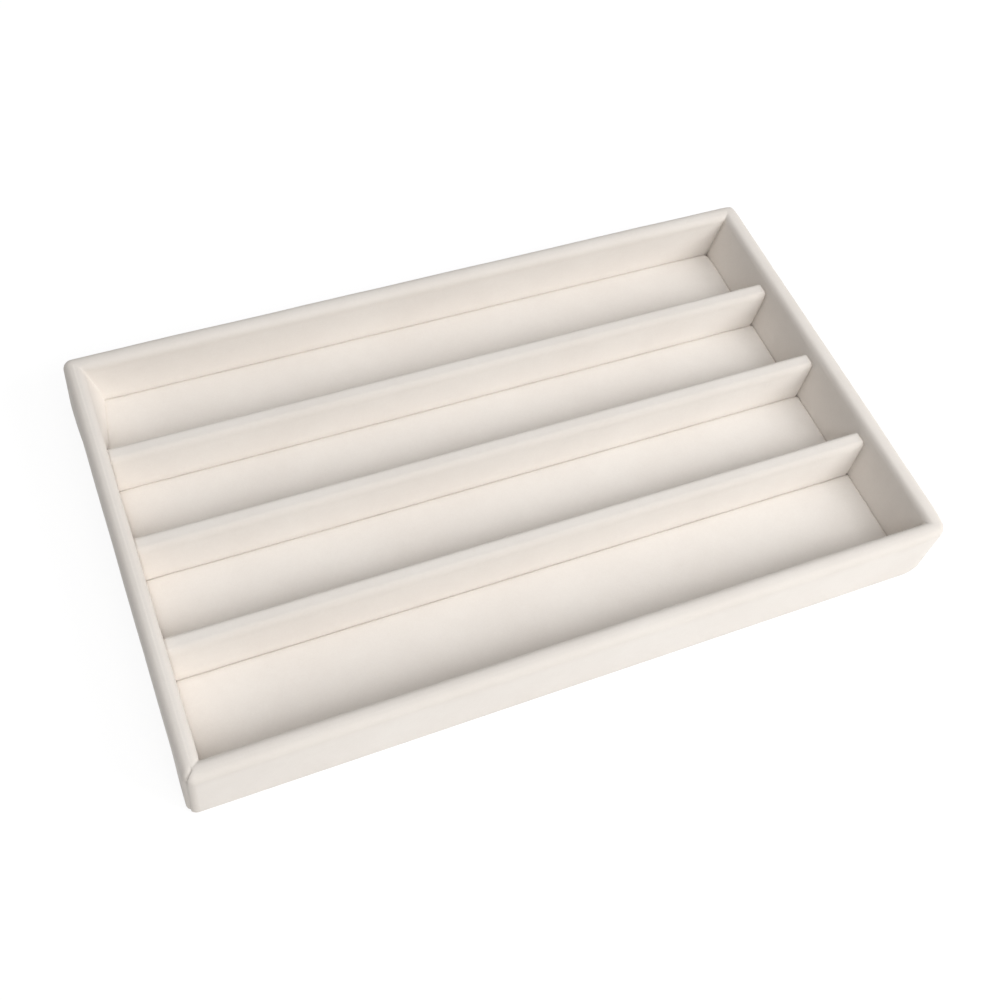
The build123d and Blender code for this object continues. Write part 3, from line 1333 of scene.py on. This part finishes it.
def puffed(
    piece: bpy.types.Object, pressure: float, cap: Sequence[float], enlarge: float = 20.0, frames: int = 20
) -> None:
    """Swells a closed pad with the cloth solver, then holds each point near its start.

    Args:
        piece: The closed pad of even quads, which is changed.
        pressure: The air in it.
        cap: How far a point may move in X, Y and Z, in millimetres.
        enlarge: How many times larger the solver sees it.
        frames: How long it swells.
    """
    start = np.array([v.co for v in piece.data.vertices])
    piece.data.transform(Matrix.Scale(enlarge, 4))
    cloth = piece.modifiers.new("pad cloth", "CLOTH")
    cloth.settings.use_pressure = True
    cloth.settings.uniform_pressure_force = pressure
    cloth.settings.effector_weights.gravity = 0
    cloth.point_cache.frame_start, cloth.point_cache.frame_end = 1, frames
    for number in range(1, frames + 1):
        bpy.context.scene.frame_set(number)
    apply_modifiers(piece)
    bpy.context.scene.frame_set(1)
    move = np.array([v.co for v in piece.data.vertices]) / enlarge - start
    log.info("%s: the cloth moved its points by up to %.2f mm", piece.name, np.abs(move).max() / MM)
    most = np.array(cap) * MM
    piece.data.vertices.foreach_set("co", (start + np.clip(move, -most, most)).astype(np.float32).ravel())
    piece.data.update()


@dataclass
class LanePad:
    """One floor pad: a velvet cover over a foam sheet on a card."""

    name: str
    seed: float
    tray: TrayMeasures = TRAY
    corner_radius: float = 0.5
    back_right_radius: float = 0.5
    edge_radius: float = 0.1
    least_radius: float = 0.08
    upright_part: float = 1.0
    left_cut: float = 0.0
    reach: float = 0.195
    left_reach: float = 1.485
    crown: float = 0.15
    pressure: float = 4.0
    swell: tuple[float, float, float] = (0.004, 0.004, 0.4)
    sway: float = 0.1
    sway_size: float = 40.0
    spacing: float = 2.0
    open_to: float = 0.8
    cloth_share: float = 0.85

    def form(self, name: str, finish: Finish, box: Sequence[Vector], skin: float) -> bpy.types.Object:
        """Makes a form that fills a box.

        Args:
            name: The piece's name.
            finish: What it is made of.
            box: The box's lowest and highest corner, in metres.
            skin: How far inside the cover it lies, in millimetres.

        Returns:
            The piece.
        """
        low, high = box
        length, width, height = ((b - a) / MM for a, b in zip(low, high))
        sizes = BoxSizes(
            length=length,
            width=width,
            height=height,
            length_at_top=length,
            width_at_top=width,
            upright_part=self.upright_part,
            edge_radius=max(self.edge_radius - skin, self.least_radius),
            corner_radius=max(self.corner_radius - skin, self.least_radius),
            back_right_radius=max(self.back_right_radius - skin, self.least_radius),
            left_cut=self.left_cut,
            left_cut_run=WallVelvet.fold_run,
            crown=self.crown,
            sway=self.sway,
            sway_size=self.sway_size,
            seed=self.seed,
            spacing=self.spacing,
        )
        return RULE.make(name, finish, sizes, Vector(((low.x + high.x) / 2, (low.y + high.y) / 2, low.z)))

    def build(self) -> list[bpy.types.Object]:
        """Makes the cover and the foam in it.

        Returns:
            The two pieces.
        """
        t = self.tray
        low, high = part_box(f"{self.name}_lane_velvet")
        low -= Vector((self.left_reach, self.reach, 0.0)) * MM
        high += Vector((self.reach, self.reach, 0.0)) * MM
        cover = self.form(f"{self.name}_lane_cover", VELVET, (low, high), 0.0)
        puffed(cover, self.pressure, self.swell)
        open_below(cover, t.base_top + self.open_to)
        finer = cover.modifiers.new("finer cloth", "SUBSURF")
        finer.levels = finer.render_levels = 1
        apply_modifiers(cover)
        thicken(cover, t.velvet * self.cloth_share)
        settle(cover, VELVET, [f"{self.name}_lane_velvet"])
        slab = self.form(f"{self.name}_lane_foam_slab", FOAM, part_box(f"{self.name}_lane_foam"), t.velvet)
        settle(slab, FOAM, [f"{self.name}_lane_foam"])
        return [cover, slab]


@dataclass
class WallFoam:
    """The foam strip behind one side's lining, thin at the rim and full at the floor."""

    side: Side
    tray: TrayMeasures = TRAY
    rows: int = 12
    stations: int = 100
    clearance: float = 0.02
    least: float = 0.3
    closing: float = 0.6

    def depths(self, side: Side, levels: np.ndarray) -> np.ndarray:
        """How far in a strip's points lie: up its board's face, then down its lining.

        Args:
            side: The side whose strip it is.
            levels: The levels upwards, in millimetres.

        Returns:
            The depths from the tray's outside, in millimetres.
        """
        face = self.tray.velvet + self.tray.board + self.clearance
        soft = np.array([self.tray.depth_at(level, side) - self.tray.velvet for level in levels])
        soft[-1] = 0.0
        return np.concatenate([np.full(len(levels), face), np.maximum(soft, face + self.least)[::-1]])

    def build(self) -> bpy.types.Object:
        """Makes the strip between its two mitred ends.

        Returns:
            The piece.
        """
        t, node = self.tray, f"{self.side.value}_padding"
        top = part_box(node)[1].z / MM
        levels = np.array([t.base_top, *np.linspace(t.floor_top, top - self.closing, self.rows), top])
        is_long = self.side in (Side.FRONT, Side.BACK)
        ends = (Side.LEFT, Side.RIGHT) if is_long else (Side.FRONT, Side.BACK)
        depth, first, last = (self.depths(side, levels) for side in (self.side, *ends))
        half_along, half_across = (t.length / 2, t.width / 2) if is_long else (t.width / 2, t.length / 2)
        share = np.linspace(0, 1, self.stations)[:, None]
        along = (first - half_along) * (1 - share) + (half_along - last) * share
        sign = -1 if self.side in (Side.FRONT, Side.LEFT) else 1
        across = np.broadcast_to(sign * (half_across - depth), along.shape)
        level = np.broadcast_to(np.concatenate([levels, levels[::-1]]), along.shape)
        plan = (along, across) if is_long else (across, along)
        piece = lofted(f"{self.side.value}_foam_strip", eased(np.stack([*plan, level], axis=2) * MM, t))
        settle(piece, FOAM, [node])
        return piece


@dataclass
class Underside:
    """The thin felt that closes the tray underneath."""

    inset: float = 5.0
    corner_radius: float = 3.0
    thickness: float = 0.42
    lift: float = 0.03
    sway_size: float = 30.0
    seed: float = 2.2
    counts: tuple[int, int] = (120, 74)
    tray: TrayMeasures = TRAY

    def build(self) -> bpy.types.Object:
        """Makes the felt.

        Returns:
            The piece.
        """
        half = np.array((self.tray.length, self.tray.width)) / 2 - self.inset
        plan = np.stack(np.meshgrid(*(np.linspace(-h, h, n) for h, n in zip(half, self.counts))), 2)
        core = np.clip(plan, self.corner_radius - half, half - self.corner_radius)
        out = plan - core
        reach = np.maximum(np.linalg.norm(out, axis=2), 1e-9)
        plan = core + out * (np.abs(out).max(axis=2) / reach)[..., None]
        level = np.zeros(plan.shape[:2])
        lift = self.lift * (1 + waves(np.dstack([plan * MM, level]), self.sway_size, self.seed))
        points = eased(np.dstack([plan, lift]) * MM, self.tray)
        faces = [tuple(reversed(f)) for f in grid_faces(*points.shape[:2])]
        piece = piece_of("underside_felt", points.reshape(-1, 3), faces)
        thicken(piece, self.thickness)
        settle(piece, FELT, ["underside_sheet"])
        return piece


@dataclass
class HiddenCore:
    """The CAD model's boards and cards: some keep their shape, some are drawn in."""

    tray: TrayMeasures = TRAY
    eased_boards: tuple[str, ...] = ("base_board", "front_wall_board", "right_end_board", "left_end_board")
    bowed_boards: tuple[str, ...] = ("base_board", "left_end_board")
    corner_cuts: tuple[float, ...] = (2.0, 4.0, 7.0, 10.0, 13.0, 16.0)
    foot_cuts: tuple[float, ...] = (2.0, 4.0, 7.0, 12.0, 15.0)
    middle_cuts: tuple[float, ...] = tuple(range(-90, 91, 10))

    def dress(self) -> None:
        """Gives each board and card that keeps its shape its finish."""
        boards = ["back_wall_board", *(f"{name}_divider_board" for name in DIVIDERS)]
        for names, finish in ((boards, BOARD), ([f"{name}_lane_card" for name in LANES], CARD)):
            for name in names:
                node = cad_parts[name]
                if len(node.material_slots) == 0:
                    node.data.materials.append(finish.material())
                for spot in node.material_slots:
                    spot.material = finish.material()
                log.info("%s: dressed as %s", name, finish.name)

    def ease(self, name: str) -> bpy.types.Object:
        """Copies a board and draws it in with the velvet round it.

        Args:
            name: The board's node.

        Returns:
            The copy, which stands for the node.
        """
        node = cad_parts[name]
        piece = bpy.data.objects.new(f"{name}_eased", node.data.copy())
        piece.data.name = piece.name
        bpy.context.scene.collection.objects.link(piece)
        piece.data.transform(node.matrix_world)
        half_x, half_y = self.tray.length / 2, self.tray.width / 2
        cuts = [(0, half_x - step) for step in self.corner_cuts]
        cuts += [(1, step - half_y) for step in self.corner_cuts]
        if name in self.bowed_boards:
            cuts += [(0, step - half_x) for step in self.foot_cuts]
            cuts += [(2, step) for step in self.foot_cuts]
            cuts += [(1, step) for step in self.middle_cuts]
        with edited(piece) as mesh:
            bmesh.ops.remove_doubles(mesh, verts=mesh.verts, dist=1e-6)
            for axis, step in cuts:
                across = Vector(np.eye(3)[axis])
                everything = [*mesh.verts, *mesh.edges, *mesh.faces]
                bmesh.ops.bisect_plane(mesh, geom=everything, plane_co=across * step * MM, plane_no=across)
            bmesh.ops.triangulate(mesh, faces=mesh.faces)
            moved = eased(np.array([v.co for v in mesh.verts]), self.tray)
            for vertex, place in zip(mesh.verts, moved):
                vertex.co = place
        return settle(piece, BOARD, [name])


# Studio


@dataclass(frozen=True)
class SoftBox:
    """One square lamp; share 1 lights a white card that faces it as white."""

    name: str
    turn: float
    rise: float
    share: float
    size: float = 1.0
    distance: float = 1.9

    def hang(self) -> None:
        """Hangs it, turn degrees from the front to the right and rise degrees up."""
        data = bpy.data.lights.new(self.name, "AREA")
        data.shape, data.size = "SQUARE", self.size
        data.energy = self.share * math.pi**2 * self.distance**2
        turn, rise = math.radians(self.turn), math.radians(self.rise)
        towards = Vector((math.cos(rise) * math.sin(turn), -math.cos(rise) * math.cos(turn), math.sin(rise)))
        lamp = bpy.data.objects.new(self.name, data)
        lamp.rotation_euler = towards.to_track_quat("Z", "Y").to_euler()
        lamp.location = towards * self.distance
        bpy.context.scene.collection.objects.link(lamp)


@dataclass
class Studio:
    """A white table, soft light from the front right and the photograph's camera."""

    eye_mm: tuple[float, float, float] = (-195.64, -323.85, 557.87)
    right: tuple[float, float, float] = (0.91999595, -0.37744455, 0.10556069)
    up: tuple[float, float, float] = (0.24409937, 0.7625355, 0.59912863)
    back: tuple[float, float, float] = (-0.30663161, -0.52542862, 0.79366355)
    lens_mm: float = 51.382
    shift_y: float = -0.10
    lamps: tuple[SoftBox, ...] = (
        SoftBox("soft box at the right", turn=50.0, rise=35.0, share=0.61),
        SoftBox("soft box at the front", turn=0.0, rise=48.0, share=0.255),
    )
    sky_share: float = 0.18
    overhead_share: float = 0.56
    overhead_from: float = 0.6
    overhead_rise: float = 4.0
    table_white: float = 0.78
    table_glow: float = 1.12
    table_grey: float = 0.85
    table_half: float = 6.0
    table_drop: float = 0.0002

    def camera(self) -> None:
        """Places the camera."""
        data = bpy.data.cameras.new("camera")
        data.lens, data.sensor_width, data.shift_y = self.lens_mm, 36.0, self.shift_y
        data.clip_start, data.clip_end = 0.02, 50.0
        camera = bpy.data.objects.new("camera", data)
        turn = Matrix((self.right, self.up, self.back)).transposed().to_4x4()
        camera.matrix_world = Matrix.Translation(Vector(self.eye_mm) * MM) @ turn
        bpy.context.scene.collection.objects.link(camera)
        bpy.context.scene.camera = camera

    def seen(self, sheet: NodeSheet) -> Term:
        """Tells the rays that show the background: from the camera, glossy, transmitted.

        Args:
            sheet: The tree of the world or of the table.

        Returns:
            1 for such rays, and 0 for the others.
        """
        camera = sheet.add("ShaderNodeLightPath", None, None, "Is Camera Ray")
        glossy = sheet.other(camera, "Is Glossy Ray")
        through = sheet.other(camera, "Is Transmission Ray")
        return camera.most(glossy).most(through)

    def world(self) -> None:
        """Lights the scene from all round, and shows white behind it."""
        world = bpy.data.worlds.new("soft room")
        world.use_nodes = True
        bpy.context.scene.world = world
        sheet = NodeSheet(world.node_tree)
        up = sheet.parts(sheet.add("ShaderNodeTexCoord", None, None, "Generated"))[2]
        overhead = (self.overhead_rise * (up - self.overhead_from)).held()
        light = self.sky_share + self.overhead_share * overhead
        seen = self.seen(sheet)
        strength = seen + light * (1.0 - seen)
        sky = sheet.add("ShaderNodeBackground", None, {"Color": (1, 1, 1, 1), "Strength": strength})
        sheet.add("ShaderNodeOutputWorld", None, {"Surface": sky})

    def floor(self) -> None:
        """Lays the white table, which keeps the tray's shadow."""
        half = self.table_half
        corners = [(x * half, y * half, -self.table_drop) for x, y in (corner.value for corner in Corner)]
        floor = piece_of("table", np.array(corners), [(0, 1, 2, 3)])
        material = bpy.data.materials.new("white_table")
        material.use_nodes = True
        sheet = NodeSheet(material.node_tree)
        grey = (self.table_grey, self.table_grey, self.table_grey, 1)
        matt = sheet.add("ShaderNodeBsdfDiffuse", None, {"Color": grey})
        white = sheet.add("ShaderNodeEmission", None, {"Color": (1, 1, 1, 1), "Strength": self.table_glow})
        shown = self.table_white * self.seen(sheet)
        both = sheet.add("ShaderNodeMixShader", None, {0: shown, 1: matt, 2: white})
        sheet.add("ShaderNodeOutputMaterial", None, {"Surface": both})
        floor.data.materials.append(material)

    def build(self) -> None:
        """Sets up the whole studio."""
        self.camera()
        self.world()
        for lamp in self.lamps:
            lamp.hang()
        self.floor()
        bpy.context.scene.view_settings.view_transform = "Standard"


def main() -> None:
    """Builds the tray's pieces in order and reports each."""
    logging.basicConfig(level=logging.INFO, format="%(message)s")
    Studio().build()
    core = HiddenCore()
    core.dress()
    for name in core.eased_boards:
        core.ease(name)
    WallVelvet().build()
    for side in Side:
        WallFoam(side).build()
    for number, name in enumerate(DIVIDERS):
        Divider(name, seed=4.1 + 2.7 * number).build()
    for number, name in enumerate(LANES[:-1]):
        LanePad(name, seed=12.3 + 3.1 * number).build()
    LanePad(LANES[-1], seed=21.6, back_right_radius=3.8, left_cut=WallVelvet.fold_reach).build()
    Underside().build()


if __name__ == "__main__":
    main()
